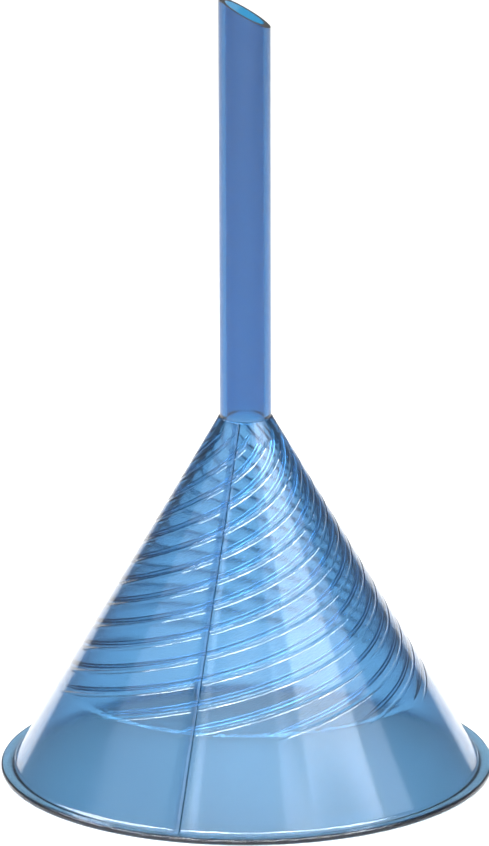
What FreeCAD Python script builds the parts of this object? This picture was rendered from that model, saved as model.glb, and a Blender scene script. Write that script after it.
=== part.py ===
import FreeCAD, Part
import math
import os

# A filter funnel moulded in one piece, standing on its rim with the stem up.
# Each region of the moulding is one closed solid, and neighbours meet face to face.
# Origin: on the axis, in the plane of the rim's face. +Z runs up the stem.
# Driving dimensions in millimetres and degrees; azimuths run anticlockwise from +X.

# Rim and cone
rim_diameter = 75.0
rim_thickness = 0.8
rim_width = 2.0                # from the rim's edge in to the outside of the cone
rim_edge_radius = 0.3
rim_fillet = 1.2               # hollow corner where the cone rises from the rim
mouth_lip_radius = 0.3         # rounding of the bowl's edge on the rim's face
cone_angle = 60.0              # full angle
cone_wall = 1.2                # square to the surface, in the ribbed part
skirt_height = 13.4            # plain band below the ribs, from the rim's face
skirt_relief = 0.12            # the skirt's wall is thinner by this, on the inside

# Stem
stem_diameter = 7.8
stem_bore = 5.8
stem_length = 63.8             # from the cone to the highest point of the tip
tip_bevel = 30.0               # slope of the cut from level, falling towards +X
neck_mouth_radius = 1.0        # rounding where the bore opens into the cone
neck_fillet = 0.5              # hollow corner between stem and cone, outside

# Spiral ribs inside the cone
spiral_rib_count = 12
spiral_rib_width = 0.7
spiral_rib_height = 0.4
spiral_turns = 1.0             # turns made by each rib between skirt and neck
spiral_foot_azimuth = 7.5      # foot of the first rib

# Straight vent rib outside the cone
vent_rib_width = 1.0
vent_rib_height = 0.6
vent_rib_azimuth = -107.0
vent_rib_edge_radius = 0.2
vent_rib_gap = 0.5             # its head stops this far below the neck, clear of the stem

# Where one region of the moulding ends and the next begins
rim_region = 1.4               # above the rim's top face
neck_region_below = 2.6        # down the cone from the neck
neck_region_above = 1.0        # up the stem from the neck

# Worked out from the dimensions above
half_angle = math.radians(cone_angle / 2)
cone_slope = math.tan(half_angle)
wall_level = cone_wall / math.cos(half_angle)
relief_level = skirt_relief / math.cos(half_angle)
rim_radius = rim_diameter / 2
stem_radius = stem_diameter / 2
bore_radius = stem_bore / 2
cone_foot_radius = rim_radius - rim_width
neck_height = rim_thickness + (cone_foot_radius - stem_radius) / cone_slope
overall_height = neck_height + stem_length
bore_start = neck_height - (bore_radius + wall_level - stem_radius) / cone_slope
mouth_setback = neck_mouth_radius * math.tan(half_angle / 2)
spiral_top = bore_start - mouth_setback * math.cos(half_angle)
vent_rib_level = vent_rib_height / math.cos(half_angle)

axis_start = FreeCAD.Vector(0, 0, 0)
axis_direction = FreeCAD.Vector(0, 0, 1)
beyond = 2 * (overall_height + rim_diameter)
margin = 2.0                   # how far a tool solid runs past what it trims


def outer_radius(height):
    return cone_foot_radius - (height - rim_thickness) * cone_slope


def inner_radius(height):
    return outer_radius(height) - wall_level


def revolved(outline):
    points = [FreeCAD.Vector(radius, 0, height) for radius, height in outline]
    face = Part.Face(Part.makePolygon(points + points[:1]))
    return face.revolve(axis_start, axis_direction, 360)


def filleted(shape, radius, edge_radius, edge_height):
    chosen = []
    for edge in shape.Edges:
        curve = edge.Curve
        if not isinstance(curve, Part.Circle):
            continue
        same_radius = abs(curve.Radius - edge_radius) < 1e-4
        same_height = abs(curve.Center.z - edge_height) < 1e-4
        if same_radius and same_height:
            chosen.append(edge)
    return shape.makeFillet(radius, chosen)


def band(shape, low, high):
    slab = Part.makeCylinder(beyond, high - low, FreeCAD.Vector(0, 0, low))
    return single_solid(shape.common(slab))


def single_solid(shape):
    solids = sorted(shape.Solids, key=lambda solid: solid.Volume)
    return solids[-1]


def turned(shape, azimuth):
    copy = shape.copy()
    copy.rotate(axis_start, axis_direction, azimuth)
    return copy


def tip_cutter():
    pivot = FreeCAD.Vector(-stem_radius, 0, overall_height)
    corner = pivot - FreeCAD.Vector(margin, beyond / 2, 0)
    cutter = Part.makeBox(beyond, beyond, beyond, corner)
    cutter.rotate(pivot, FreeCAD.Vector(0, 1, 0), tip_bevel)
    return cutter


def outside_shape():
    outline = [
        (0, 0),
        (rim_radius, 0),
        (rim_radius, rim_thickness),
        (cone_foot_radius, rim_thickness),
        (stem_radius, neck_height),
        (stem_radius, overall_height),
        (0, overall_height),
    ]
    shape = revolved(outline)
    shape = filleted(shape, rim_edge_radius, rim_radius, rim_thickness)
    shape = filleted(shape, rim_edge_radius, rim_radius, 0)
    shape = filleted(shape, rim_fillet, cone_foot_radius, rim_thickness)
    shape = filleted(shape, neck_fillet, stem_radius, neck_height)
    return shape.cut(tip_cutter())


def inside_shape():
    outline = [
        (0, -margin),
        (inner_radius(0) + relief_level, -margin),
        (inner_radius(0) + relief_level, 0),
        (inner_radius(skirt_height) + relief_level, skirt_height),
        (inner_radius(skirt_height), skirt_height),
        (bore_radius, bore_start),
        (bore_radius, overall_height + margin),
        (0, overall_height + margin),
    ]
    shape = revolved(outline)
    return filleted(shape, neck_mouth_radius, bore_radius, bore_start)


def moulding():
    shape = outside_shape().cut(inside_shape())
    return filleted(shape, mouth_lip_radius, inner_radius(0) + relief_level, 0)


def spiral_rib():
    # A round bead along a conical helix, kept where it stands out of the wall into the bowl
    bead_radius = (spiral_rib_width ** 2 / 4 + spiral_rib_height ** 2) / (2 * spiral_rib_height)
    bead_level = (spiral_rib_height - bead_radius) / math.cos(half_angle)
    pitch = (spiral_top - skirt_height) / spiral_turns
    start_height = spiral_top + margin / 2
    start_radius = inner_radius(start_height) - bead_level
    drop = start_height - skirt_height + margin
    # On a cone, makeHelix takes its pitch and height along the slope
    along_slope = 1 / math.cos(half_angle)
    helix = Part.makeHelix(pitch * along_slope, drop * along_slope, start_radius, cone_angle / 2)
    helix.rotate(axis_start, FreeCAD.Vector(1, 0, 0), 180)
    helix.translate(FreeCAD.Vector(0, 0, start_height))
    start = helix.Edges[0]
    start_point = start.valueAt(start.FirstParameter)
    start_tangent = start.tangentAt(start.FirstParameter)
    section = Part.Wire(Part.makeCircle(bead_radius, start_point, start_tangent))
    bead = Part.Wire(helix.Edges).makePipeShell([section], True, False)
    bowl_low = skirt_height - 2 * margin
    bowl_high = spiral_top + margin
    bowl = revolved([
        (0, bowl_low),
        (inner_radius(bowl_low), bowl_low),
        (inner_radius(bowl_high), bowl_high),
        (0, bowl_high),
    ])
    rib = band(bead.common(bowl), skirt_height, spiral_top)
    foot_turn = 360.0 * (start_height - skirt_height) / pitch
    return turned(rib, spiral_foot_azimuth + foot_turn)


def vent_rib(outside):
    # A flat bar along the cone, from the rim to just below the neck
    head_height = neck_height - vent_rib_gap
    outline = [
        (cone_foot_radius - margin, rim_thickness),
        (cone_foot_radius + vent_rib_level, rim_thickness),
        (outer_radius(head_height) + vent_rib_level, head_height),
        (outer_radius(head_height) - margin, head_height),
    ]
    points = [FreeCAD.Vector(radius, -vent_rib_width / 2, height) for radius, height in outline]
    face = Part.Face(Part.makePolygon(points + points[:1]))
    bar = face.extrude(FreeCAD.Vector(0, vent_rib_width, 0))
    long_edges = []
    for edge in bar.Edges:
        ends = [vertex.Point for vertex in edge.Vertexes]
        on_top = all(point.x > outer_radius(point.z) + vent_rib_level / 2 for point in ends)
        if on_top and edge.Length > vent_rib_width * 2:
            long_edges.append(edge)
    bar = bar.makeFillet(vent_rib_edge_radius, long_edges)
    return single_solid(turned(bar, vent_rib_azimuth).cut(outside))


def main():
    os.makedirs("parts", exist_ok=True)
    body = moulding()
    rim_top = rim_thickness + rim_region
    neck_low = neck_height - neck_region_below
    neck_high = neck_height + neck_region_above
    regions = {
        "rim_flange": band(body, -margin, rim_top),
        "plain_skirt": band(body, rim_top, skirt_height),
        "cone_wall": band(body, skirt_height, neck_low),
        "neck": band(body, neck_low, neck_high),
        "stem": band(body, neck_high, overall_height + margin),
        "vent_rib": vent_rib(outside_shape()),
    }
    first_rib = spiral_rib()
    for index in range(spiral_rib_count):
        name = "spiral_rib_%02d" % (index + 1)
        regions[name] = turned(first_rib, 360.0 * index / spiral_rib_count)
    for name, solid in regions.items():
        solid.exportStep("parts/%s.step" % name)


main()
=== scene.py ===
import math

import bmesh
import bpy
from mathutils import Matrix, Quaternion, Vector


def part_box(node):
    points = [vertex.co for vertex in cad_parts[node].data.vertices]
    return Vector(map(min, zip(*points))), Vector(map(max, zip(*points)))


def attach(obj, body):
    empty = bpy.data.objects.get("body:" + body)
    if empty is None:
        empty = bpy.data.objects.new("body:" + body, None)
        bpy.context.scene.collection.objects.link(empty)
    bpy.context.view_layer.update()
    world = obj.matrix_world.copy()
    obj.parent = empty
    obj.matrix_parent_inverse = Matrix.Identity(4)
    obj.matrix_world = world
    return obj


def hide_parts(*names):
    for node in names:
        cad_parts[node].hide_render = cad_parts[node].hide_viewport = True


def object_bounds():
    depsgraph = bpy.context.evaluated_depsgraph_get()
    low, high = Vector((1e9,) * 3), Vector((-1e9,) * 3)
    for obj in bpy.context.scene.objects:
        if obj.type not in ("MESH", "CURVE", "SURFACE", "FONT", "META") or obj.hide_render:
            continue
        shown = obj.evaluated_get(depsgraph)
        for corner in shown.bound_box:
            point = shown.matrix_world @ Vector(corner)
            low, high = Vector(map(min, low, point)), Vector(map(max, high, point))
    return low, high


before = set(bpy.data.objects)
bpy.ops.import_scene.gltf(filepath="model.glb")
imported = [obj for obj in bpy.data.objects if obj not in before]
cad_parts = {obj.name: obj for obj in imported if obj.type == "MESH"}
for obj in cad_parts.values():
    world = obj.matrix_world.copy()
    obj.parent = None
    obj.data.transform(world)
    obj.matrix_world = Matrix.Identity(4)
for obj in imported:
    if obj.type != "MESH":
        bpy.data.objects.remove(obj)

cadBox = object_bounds()
mm = 0.001
middle = (0.0, 0.0, 0.0)    # the funnel's axis stands on the frame's origin
near = 1e-6                 # two points this close are the same point


def clearSelection():
    if bpy.context.object and bpy.context.object.mode != "OBJECT":
        bpy.ops.object.mode_set(mode="OBJECT")
    bpy.ops.object.select_all(action="DESELECT")


def selectOnly(*pieces):
    clearSelection()
    for piece in pieces:
        piece.select_set(True)
    bpy.context.view_layer.objects.active = pieces[0]


def startEdit(selectMode="VERT"):
    bpy.ops.object.mode_set(mode="EDIT")
    bpy.ops.mesh.select_mode(type=selectMode)


def endEdit():
    bpy.ops.object.mode_set(mode="OBJECT")


def mergeDoubles():
    startEdit()
    bpy.ops.mesh.select_all(action="SELECT")
    bpy.ops.mesh.remove_doubles(threshold=near)
    bpy.ops.mesh.normals_make_consistent(inside=False)
    endEdit()


def applyPlace():
    bpy.ops.object.transform_apply(location=True, rotation=True, scale=True)


# the eye and its lens
cameraSet = {
    "aim": (-0.16 * mm, 0.0, 54.03 * mm),
    "distance": 0.94,
    "elevation": 15.8,        # degrees down on the funnel
    "roll": -0.17,            # degrees
    "lens": 265.8,            # mm, on a sensor this high:
    "sensorHeight": 36.0,
    "clipEnd": 20.0,
}


def placeCamera():
    down = math.radians(cameraSet["elevation"])
    away = Vector((0.0, -math.cos(down), math.sin(down)))
    place = Vector(cameraSet["aim"]) + away * cameraSet["distance"]
    bpy.ops.object.camera_add(location=place)
    camera = bpy.context.object
    camera.name = "viewCamera"
    camera.rotation_mode = "QUATERNION"
    roll = Quaternion((0.0, 0.0, 1.0), math.radians(cameraSet["roll"]))
    camera.rotation_quaternion = away.to_track_quat("Z", "Y") @ roll
    camera.data.sensor_fit = "VERTICAL"
    camera.data.sensor_height = cameraSet["sensorHeight"]
    camera.data.lens = cameraSet["lens"]
    camera.data.clip_end = cameraSet["clipEnd"]
    bpy.context.scene.camera = camera


print("camera")
clearSelection()
placeCamera()

# the moulding's section, in metres and degrees
shellSet = {
    # the widest circle that stays inside the CAD's box
    "rimRadius": min(abs(side) for corner in cadBox for side in corner[:2]),
    "rimThickness": 0.8 * mm,
    "rimWidth": 2.0 * mm,
    "rimEdge": 0.3 * mm,          # rounding of the rim's outer edge
    "rimFillet": 1.2 * mm,        # hollow corner where the cone rises
    "lip": 0.3 * mm,              # rounding of the bowl's edge
    "halfAngle": 30.0,
    "wall": 1.2 * mm,
    "skirtHeight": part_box("cone_wall")[0][2],
    "skirtRelief": 0.12 * mm,     # the bowl is this much wider below the ribs
    "skirtEase": 0.25 * mm,       # that step is a soft one, this far each side of its height
    "skirtBlend": 0.7,            # how far the rounding runs from either end of the step, for its ease
    "stemRadius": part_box("stem")[1][0],
    "boreRadius": 2.9 * mm,
    "topHeight": cadBox[1][2],
    "tipBevel": 30.0,
    "tipSpare": 3 * mm,           # the tube starts this much too long, for the tip to be cut
    "mouth": 1.0 * mm,            # rounding where the bore opens into the cone
    "shoulder": 0.2 * mm,         # the cone ends in a narrow step round the stem
    "shoulderRise": 0.3,          # that step's rise, for its width
    "shoulderEdge": 0.4,          # the rounding of its edge, for its width
    "shoulderTurn": 43.0,         # degrees that the section turns at the edge
    "around": 240,                # faces round the axis
    "sharpAngle": 20.0,           # edges that turn more than this stay sharp
    "slopeSlack": 12e-6,          # a point this near the plain cone counts as on it
}

halfAngle = math.radians(shellSet["halfAngle"])
coneSlope = math.tan(halfAngle)
coneFoot = shellSet["rimRadius"] - shellSet["rimWidth"]
wallLevel = shellSet["wall"] / math.cos(halfAngle)
reliefLevel = shellSet["skirtRelief"] / math.cos(halfAngle)
neckHeight = shellSet["rimThickness"] + (coneFoot - shellSet["stemRadius"]) / coneSlope


def outerRadius(height):
    return coneFoot - (height - shellSet["rimThickness"]) * coneSlope


def innerRadius(height):
    return outerRadius(height) - wallLevel


stepRadius = shellSet["stemRadius"] + shellSet["shoulder"]
stepHeight = neckHeight - shellSet["shoulder"] / coneSlope
boreStart = neckHeight - (shellSet["boreRadius"] + wallLevel - shellSet["stemRadius"]) / coneSlope


def roundCorner(radius, height, rounding, turn, steps):
    # rounds the ring at that radius and height, where the section turns by that many degrees
    startEdit("EDGE")
    bpy.ops.mesh.select_all(action="DESELECT")
    mesh = bmesh.from_edit_mesh(bpy.context.object.data)
    for edge in mesh.edges:
        ends = [vert.co for vert in edge.verts]
        onRing = all(abs(end.z - height) < near and abs(end.xy.length - radius) < near for end in ends)
        edge.select_set(onRing)
    bmesh.update_edit_mesh(bpy.context.object.data)
    setback = rounding * math.tan(math.radians(turn) / 2)
    bpy.ops.mesh.bevel(offset=setback, offset_type="OFFSET", segments=steps, affect="EDGES")
    endEdit()


def turnShell():
    # one ring at the top of the bore, extruded down inside, round the rim and up outside
    high = shellSet["topHeight"] + shellSet["tipSpare"]
    skirt, ease = shellSet["skirtHeight"], shellSet["skirtEase"]
    rings = [
        (shellSet["boreRadius"], boreStart),
        (innerRadius(skirt + ease), skirt + ease),
        (innerRadius(skirt - ease) + reliefLevel, skirt - ease),
        (innerRadius(0.0) + reliefLevel, 0.0),
        (shellSet["rimRadius"], 0.0),
        (shellSet["rimRadius"], shellSet["rimThickness"]),
        (coneFoot, shellSet["rimThickness"]),
        (stepRadius, stepHeight),
        (shellSet["stemRadius"], stepHeight + shellSet["shoulder"] * shellSet["shoulderRise"]),
        (shellSet["stemRadius"], high),
    ]
    ringRadius, ringHeight = shellSet["boreRadius"], high
    bpy.ops.mesh.primitive_circle_add(
        vertices=shellSet["around"], radius=ringRadius, location=(0.0, 0.0, ringHeight))
    shell = bpy.context.object
    shell.name = "funnelBody"
    applyPlace()
    startEdit("EDGE")
    bpy.ops.mesh.select_all(action="SELECT")
    for radius, height in rings:
        bpy.ops.mesh.extrude_region_move(
            TRANSFORM_OT_translate={"value": (0.0, 0.0, height - ringHeight)})
        grow = radius / ringRadius
        bpy.ops.transform.resize(value=(grow, grow, 1.0), center_override=middle)
        ringRadius, ringHeight = radius, height
    endEdit()
    return shell


def roundShell():
    rimRadius, rimTop = shellSet["rimRadius"], shellSet["rimThickness"]
    skirt, ease = shellSet["skirtHeight"], shellSet["skirtEase"]
    steep = 90.0 - shellSet["halfAngle"]
    # what the section turns by at either end of the step in the bowl
    turn = math.atan2(shellSet["skirtRelief"], 2 * ease / math.cos(halfAngle))
    blend = ease * shellSet["skirtBlend"] / math.tan(turn / 2)
    turn = math.degrees(turn)
    # the last number is how many steps a rounding takes
    roundCorner(shellSet["boreRadius"], boreStart, shellSet["mouth"], shellSet["halfAngle"], 8)
    roundCorner(innerRadius(skirt + ease), skirt + ease, blend, turn, 4)
    roundCorner(innerRadius(skirt - ease) + reliefLevel, skirt - ease, blend, turn, 4)
    roundCorner(innerRadius(0.0) + reliefLevel, 0.0, shellSet["lip"], 180.0 - steep, 6)
    roundCorner(rimRadius, 0.0, shellSet["rimEdge"], 90.0, 6)
    roundCorner(rimRadius, rimTop, shellSet["rimEdge"], 90.0, 6)
    roundCorner(coneFoot, rimTop, shellSet["rimFillet"], steep, 10)
    edge = shellSet["shoulder"] * shellSet["shoulderEdge"]
    roundCorner(stepRadius, stepHeight, edge, shellSet["shoulderTurn"], 4)


# rings just past each rounded corner, so that the shading runs even between them
cutSet = {
    "neck": (0.5 * mm, 2 * mm),   # above the neck
    "mouth": (0.6 * mm, 2 * mm),  # below the start of the bore
    "rim": 2.6 * mm,              # above the rim's underside
    "skirt": 0.8 * mm,            # either side of the step in the bowl
}


def cutLevels():
    levels = [neckHeight + past for past in cutSet["neck"]]
    levels += [boreStart - past for past in cutSet["mouth"]]
    skirt = shellSet["skirtHeight"]
    levels += [cutSet["rim"], skirt - cutSet["skirt"], skirt + cutSet["skirt"]]
    startEdit()
    for level in levels:
        bpy.ops.mesh.select_all(action="SELECT")
        bpy.ops.mesh.bisect(plane_co=(0.0, 0.0, level), plane_no=(0.0, 0.0, 1.0))
    endEdit()


def cutTip():
    slope = math.radians(shellSet["tipBevel"])
    peak = (-shellSet["stemRadius"], 0.0, shellSet["topHeight"])
    startEdit("EDGE")
    bpy.ops.mesh.select_all(action="SELECT")
    bpy.ops.mesh.bisect(
        plane_co=peak, plane_no=(math.sin(slope), 0.0, math.cos(slope)), clear_outer=True)
    bpy.ops.mesh.select_all(action="DESELECT")
    bpy.ops.mesh.select_non_manifold(extend=False)
    bpy.ops.mesh.bridge_edge_loops()
    bpy.ops.mesh.select_all(action="SELECT")
    bpy.ops.mesh.normals_make_consistent(inside=False)
    endEdit()


print("shell")
clearSelection()
body = turnShell()
roundShell()
cutTip()
cutLevels()

# spiral ribs on the inside of the cone
spiralSet = {
    "count": 12,
    "width": 0.7 * mm,            # on the wall
    "height": 0.4 * mm,           # above the wall
    "ribSides": 8,                # roundness of a rib's bar
    "sinkWidth": 0.7 * mm,        # the hollow outside over each rib
    "sinkDepth": 0.07 * mm,
    "sinkSides": 18,
    "sinkClear": 0.02 * mm,       # at its ends a hollow's bar lifts towards this far off the wall
    "headDrop": 1.6 * mm,         # the ribs end this far below the mouth of the bore
    "footAngle": 7.5,             # degrees from +X
    "turns": 1.0,
    "points": 200,                # along one rib
    "fade": 0.03,                 # share of a rib that thins out at either end
    "thinnest": 0.3,              # the thickness at the very end, for the full one
}


def beadRadius(width, height):
    # the round bar that stands that high on a wall, or sinks that deep, at that width
    return (width ** 2 / 4 + height ** 2) / (2 * height)


def makeSpirals(bar, sides, wallRadius, rise, lift):
    # round bars along the spirals, their middles off the wall by rise, and nearer to lift at the ends
    foot, thinnest = shellSet["skirtHeight"], spiralSet["thinnest"]
    head = boreStart - spiralSet["headDrop"]
    bpy.ops.curve.primitive_nurbs_path_add()
    curve = bpy.context.object
    line = curve.data
    line.splines.clear()
    spline = line.splines.new("POLY")
    spline.points.add(spiralSet["points"])
    for index, point in enumerate(spline.points):
        share = index / spiralSet["points"]
        level = foot + (head - foot) * share
        angle = math.radians(spiralSet["footAngle"] + 360.0 * spiralSet["turns"] * share)
        toEnd = min(share, 1.0 - share) / spiralSet["fade"]
        thin = min(1.0, thinnest + (1.0 - thinnest) * toEnd)
        away = rise * thin + lift * (1.0 - thin)
        radius = wallRadius(level) + away / math.cos(halfAngle)
        point.co = (radius * math.cos(angle), radius * math.sin(angle), level, 1.0)
        point.radius = thin if lift == 0.0 else 1.0
    line.dimensions = "3D"
    line.bevel_depth = bar
    line.bevel_resolution = sides
    line.use_fill_caps = True
    bpy.ops.object.convert(target="MESH")
    mergeDoubles()
    ribs = [bpy.context.object]
    for index in range(1, spiralSet["count"]):
        selectOnly(ribs[0])
        bpy.ops.object.duplicate()
        copy = bpy.context.object
        copy.rotation_euler.z = math.radians(360.0 * index / spiralSet["count"])
        applyPlace()
        ribs.append(copy)
    selectOnly(*ribs)
    bpy.ops.object.join()
    applyPlace()
    return bpy.context.object


def makeSpiralRibs():
    bar = beadRadius(spiralSet["width"], spiralSet["height"])
    return makeSpirals(bar, spiralSet["ribSides"], innerRadius, bar - spiralSet["height"], 0.0)


def makeSinkLines():
    # the plastic shrinks over each rib, which leaves a shallow hollow on the outside
    bar = beadRadius(spiralSet["sinkWidth"], spiralSet["sinkDepth"])
    rise, lift = bar - spiralSet["sinkDepth"], bar + spiralSet["sinkClear"]
    return makeSpirals(bar, spiralSet["sinkSides"], outerRadius, rise, lift)


# straight rib on the outside, from the rim to the neck
ventSet = {
    "width": 1.0 * mm,
    "height": 0.6 * mm,
    "root": 0.4 * mm,             # how far it is let into the wall
    "under": 0.5 * mm,            # how far its foot runs down into the rim
    "edge": 0.2 * mm,
    "angle": -107.0,              # degrees from +X
    "headHeight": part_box("vent_rib")[1][2],
}


def makeVentRib():
    root, height, width = ventSet["root"], ventSet["height"], ventSet["width"]
    length = neckHeight / math.cos(halfAngle)
    bpy.ops.mesh.primitive_cube_add(size=1.0)
    rib = bpy.context.object
    rib.scale = (root + height, width, length)
    applyPlace()
    startEdit("EDGE")
    bpy.ops.mesh.select_all(action="DESELECT")
    mesh = bmesh.from_edit_mesh(rib.data)
    for edge in mesh.edges:
        ends = [vert.co for vert in edge.verts]
        edge.select_set(all(end.x > 0 for end in ends) and abs(ends[0].z - ends[1].z) > near)
    bmesh.update_edit_mesh(rib.data)
    bpy.ops.mesh.bevel(offset=ventSet["edge"], segments=4, affect="EDGES")
    endEdit()
    up = Vector((-math.sin(halfAngle), 0.0, math.cos(halfAngle)))
    out = Vector((math.cos(halfAngle), 0.0, math.sin(halfAngle)))
    start = Vector((coneFoot, 0.0, shellSet["rimThickness"]))
    turn = math.radians(ventSet["angle"])
    place = start + up * (length / 2 - ventSet["under"]) + out * (height - root) / 2
    place.rotate(Quaternion((0.0, 0.0, 1.0), turn))
    rib.location = place
    rib.rotation_euler = (0.0, -halfAngle, turn)
    applyPlace()
    startEdit()
    bpy.ops.mesh.select_all(action="SELECT")
    bpy.ops.mesh.bisect(
        plane_co=(0.0, 0.0, ventSet["headHeight"]), plane_no=(0.0, 0.0, 1.0),
        clear_outer=True, use_fill=True)
    endEdit()
    return rib


def combine(shell, other, operation):
    selectOnly(shell)
    bpy.ops.object.modifier_add(type="BOOLEAN")
    boolean = shell.modifiers[-1]
    boolean.operation = operation
    boolean.solver = "MANIFOLD"
    boolean.object = other
    bpy.ops.object.modifier_apply(modifier=boolean.name)
    bpy.data.objects.remove(other)


print("ribs")
clearSelection()
combine(body, makeSinkLines(), "DIFFERENCE")
clearSelection()
combine(body, makeSpiralRibs(), "UNION")
clearSelection()
combine(body, makeVentRib(), "UNION")
selectOnly(body)
bpy.ops.object.shade_smooth_by_angle(angle=math.radians(shellSet["sharpAngle"]))


def evenShading(shell):
    # the faces left on the plain cone take the cone's own slope, whatever was cut beside them
    mesh, slack = shell.data, shellSet["slopeSlack"]
    tilts = [Vector(corner.vector) for corner in mesh.corner_normals]
    for face in mesh.polygons:
        for wallRadius, side in ((outerRadius, 1.0), (innerRadius, -1.0)):
            points = [mesh.vertices[index].co for index in face.vertices]
            if all(abs(point.xy.length - wallRadius(point.z)) < slack for point in points):
                for loop, point in zip(face.loop_indices, points):
                    out = point.xy.normalized() * math.cos(halfAngle) * side
                    tilts[loop] = Vector((out.x, out.y, math.sin(halfAngle) * side))
    mesh.normals_split_custom_set(tilts)


evenShading(body)

# tinted clear plastic, with painted shade deepening the stem's tint
plasticSet = {
    "bowlTint": (0.82, 0.94, 0.97, 1.0),
    # painted shade: the stem's tint is deepened as the light round it falls
    "stemShadeTint": (0.10, 0.44, 0.66, 1.0),
    "stemShadeStart": 1.5 * mm,                # below the neck, where the stem's painted shade begins
    "stemShadeFull": 0.5 * mm,                 # above the neck, where it is full
    "depth": (0.11, 0.47, 0.71, 1.0),     # what the plastic lets through
    "density": 900.0,
    "mottle": 0.06,                       # how far the tint wanders
    "mottleScale": 60.0,
    "mottleDetail": 3.0,
    "mottleStretch": 0.25,                # the pattern's scale upwards, for its scale across
    "flow": 0.008,                        # strength of the faint waves in the surface
    "flowHeight": 1.0 * mm,
    "roughness": 0.10,
    "ior": 1.49,
}


def addNode(tree, kind, **settings):
    node = tree.nodes.new(kind)
    for name, value in settings.items():
        setattr(node, name, value)
    return node


def makePlastic():
    material = bpy.data.materials.new("clearBluePlastic")
    material.use_nodes = True
    tree = material.node_tree
    shader = tree.nodes["Principled BSDF"]
    place = addNode(tree, "ShaderNodeTexCoord")
    # painted shade: the stem is tinted deeper than the bowl, as the light round it falls, on top of
    # the plastic's own tint
    height = addNode(tree, "ShaderNodeSeparateXYZ")
    tree.links.new(place.outputs["Object"], height.inputs["Vector"])
    stemShadeMask = addNode(tree, "ShaderNodeMapRange", interpolation_type="SMOOTHSTEP")
    stemShadeMask.inputs["From Min"].default_value = neckHeight - plasticSet["stemShadeStart"]
    stemShadeMask.inputs["From Max"].default_value = neckHeight + plasticSet["stemShadeFull"]
    tree.links.new(height.outputs["Z"], stemShadeMask.inputs["Value"])
    tintAndStemShade = addNode(tree, "ShaderNodeMix", data_type="RGBA")
    tintAndStemShade.inputs["A"].default_value = plasticSet["bowlTint"]
    tintAndStemShade.inputs["B"].default_value = plasticSet["stemShadeTint"]
    tree.links.new(stemShadeMask.outputs["Result"], tintAndStemShade.inputs["Factor"])
    # the tint wanders a little along the way the plastic flowed
    stretch = addNode(tree, "ShaderNodeMapping")
    stretch.inputs["Scale"].default_value = (1.0, 1.0, plasticSet["mottleStretch"])
    tree.links.new(place.outputs["Object"], stretch.inputs["Vector"])
    cloud = addNode(tree, "ShaderNodeTexNoise")
    cloud.inputs["Scale"].default_value = plasticSet["mottleScale"]
    cloud.inputs["Detail"].default_value = plasticSet["mottleDetail"]
    tree.links.new(stretch.outputs["Vector"], cloud.inputs["Vector"])
    wander = addNode(tree, "ShaderNodeMapRange")
    wander.inputs["To Min"].default_value = 1.0 - plasticSet["mottle"]
    wander.inputs["To Max"].default_value = 1.0 + plasticSet["mottle"]
    tree.links.new(cloud.outputs["Fac"], wander.inputs["Value"])
    colour = addNode(tree, "ShaderNodeVectorMath", operation="SCALE")
    tree.links.new(tintAndStemShade.outputs["Result"], colour.inputs["Vector"])
    tree.links.new(wander.outputs["Result"], colour.inputs["Scale"])
    tree.links.new(colour.outputs["Vector"], shader.inputs["Base Color"])
    # and the same pattern leaves faint waves in the surface
    wave = addNode(tree, "ShaderNodeBump")
    wave.inputs["Strength"].default_value = plasticSet["flow"]
    wave.inputs["Distance"].default_value = plasticSet["flowHeight"]
    tree.links.new(cloud.outputs["Fac"], wave.inputs["Height"])
    tree.links.new(wave.outputs["Normal"], shader.inputs["Normal"])
    shader.inputs["Roughness"].default_value = plasticSet["roughness"]
    shader.inputs["IOR"].default_value = plasticSet["ior"]
    shader.inputs["Transmission Weight"].default_value = 1.0
    depth = addNode(tree, "ShaderNodeVolumeAbsorption")
    depth.inputs["Color"].default_value = plasticSet["depth"]
    depth.inputs["Density"].default_value = plasticSet["density"]
    tree.links.new(depth.outputs["Volume"], tree.nodes["Material Output"].inputs["Volume"])
    return material


print("materials")
body.data.materials.clear()
body.data.materials.append(makePlastic())
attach(body, "root")
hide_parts(*[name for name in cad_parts])

# floor, lamps and the room round them
floorSet = {
    "size": 8.0,
    "gap": 0.05 * mm,             # just under the rim, so the two faces don't fight
    "colour": (0.38, 0.38, 0.38, 1.0),    # the lamps bring it up to white
    "roughness": 0.9,
    "shine": 0.1,
}
lampAim = (0.0, 0.0, 45.0 * mm)
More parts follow.
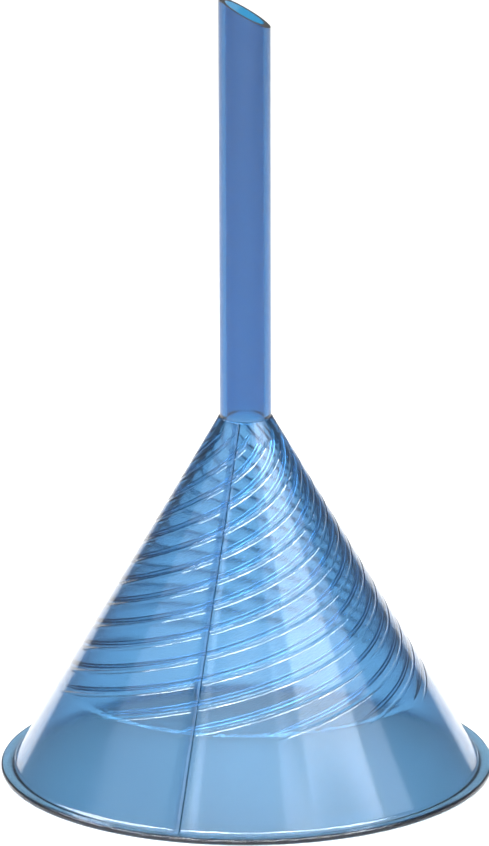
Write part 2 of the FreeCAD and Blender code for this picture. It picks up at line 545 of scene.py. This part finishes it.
# each lamp stands so many degrees round from +X and up from the floor, and faces the funnel
lampSet = {
    "overhead": {"round": 90.0, "up": 76.0, "distance": 1.6,
                 "size": (1.6, 1.6), "glow": 2.1, "shadow": False},
    "ringFront": {"round": 270.0, "up": 68.0, "distance": 1.0, "size": (0.7, 0.24), "glow": 20.0},
    "ringLeft": {"round": 225.0, "up": 64.0, "distance": 1.0, "size": (0.5, 0.24), "glow": 22.0},
    "ringFarLeft": {"round": 186.0, "up": 55.0, "distance": 1.0, "size": (0.5, 0.26), "glow": 19.0},
    "ringBackLeft": {"round": 154.0, "up": 47.0, "distance": 1.0, "size": (0.66, 0.26), "glow": 13.0},
    "ringRight": {"round": 315.0, "up": 64.0, "distance": 1.0, "size": (0.5, 0.24), "glow": 22.0},
    "ringFarRight": {"round": 0.0, "up": 58.0, "distance": 1.0, "size": (0.5, 0.24), "glow": 22.0},
    "rightStrip": {"round": -32.0, "up": 36.0, "distance": 1.2,
                   "size": (0.7, 0.16), "turn": -18.0, "glow": 5.0},
    "rightSoft": {"round": -30.0, "up": 35.0, "distance": 1.25,
                  "size": (1.5, 0.34), "turn": -14.0, "glow": 2.2},
    "middleStrip": {"round": 240.0, "up": 42.0, "distance": 1.2, "size": (0.08, 0.3), "glow": 3.5},
    "leftStrip": {"round": 200.0, "up": 34.0, "distance": 1.2, "size": (0.9, 0.4), "glow": 1.1},
    "frontLow": {"round": 270.0, "up": 30.0, "distance": 0.7, "size": (2.2, 0.26), "glow": 2.4},
    "neckFront": {"round": 270.0, "up": 9.0, "distance": 0.8, "size": (1.8, 0.1), "glow": 18.0},
}
roomSet = {"colour": (1.0, 1.0, 1.0, 1.0), "strength": 0.28}


def makeFloor():
    bpy.ops.mesh.primitive_plane_add(size=floorSet["size"], location=(0.0, 0.0, -floorSet["gap"]))
    floor = bpy.context.object
    floor.name = "floor"
    material = bpy.data.materials.new("paleFloor")
    material.use_nodes = True
    shader = material.node_tree.nodes["Principled BSDF"]
    shader.inputs["Base Color"].default_value = floorSet["colour"]
    shader.inputs["Roughness"].default_value = floorSet["roughness"]
    shader.inputs["Specular IOR Level"].default_value = floorSet["shine"]
    floor.data.materials.append(material)


def makeLamps():
    aim = Vector(lampAim)
    for name, lamp in lampSet.items():
        around, up = math.radians(lamp["round"]), math.radians(lamp["up"])
        flat = math.cos(up)
        away = Vector((flat * math.cos(around), flat * math.sin(around), math.sin(up)))
        bpy.ops.object.light_add(type="AREA", location=aim + away * lamp["distance"])
        light = bpy.context.object
        light.name = name + "Lamp"
        light.rotation_mode = "QUATERNION"
        turn = Quaternion((0.0, 0.0, 1.0), math.radians(lamp.get("turn", 0.0)))
        light.rotation_quaternion = away.to_track_quat("Z", "Y") @ turn
        light.data.shape = "RECTANGLE"
        light.data.size, light.data.size_y = lamp["size"]
        # a lamp's power is its glow over its face, the same glow for every size
        light.data.energy = lamp["glow"] * math.pi * lamp["size"][0] * lamp["size"][1]
        light.visible_camera = False
        light.data.use_shadow = lamp.get("shadow", True)


def makeRoom():
    world = bpy.data.worlds.new("softRoom")
    bpy.context.scene.world = world
    world.use_nodes = True
    sky = world.node_tree.nodes["Background"]
    sky.inputs["Color"].default_value = roomSet["colour"]
    sky.inputs["Strength"].default_value = roomSet["strength"]
    bpy.context.scene.view_settings.view_transform = "Standard"


print("stage")
clearSelection()
makeFloor()
makeLamps()
makeRoom()

print("done")
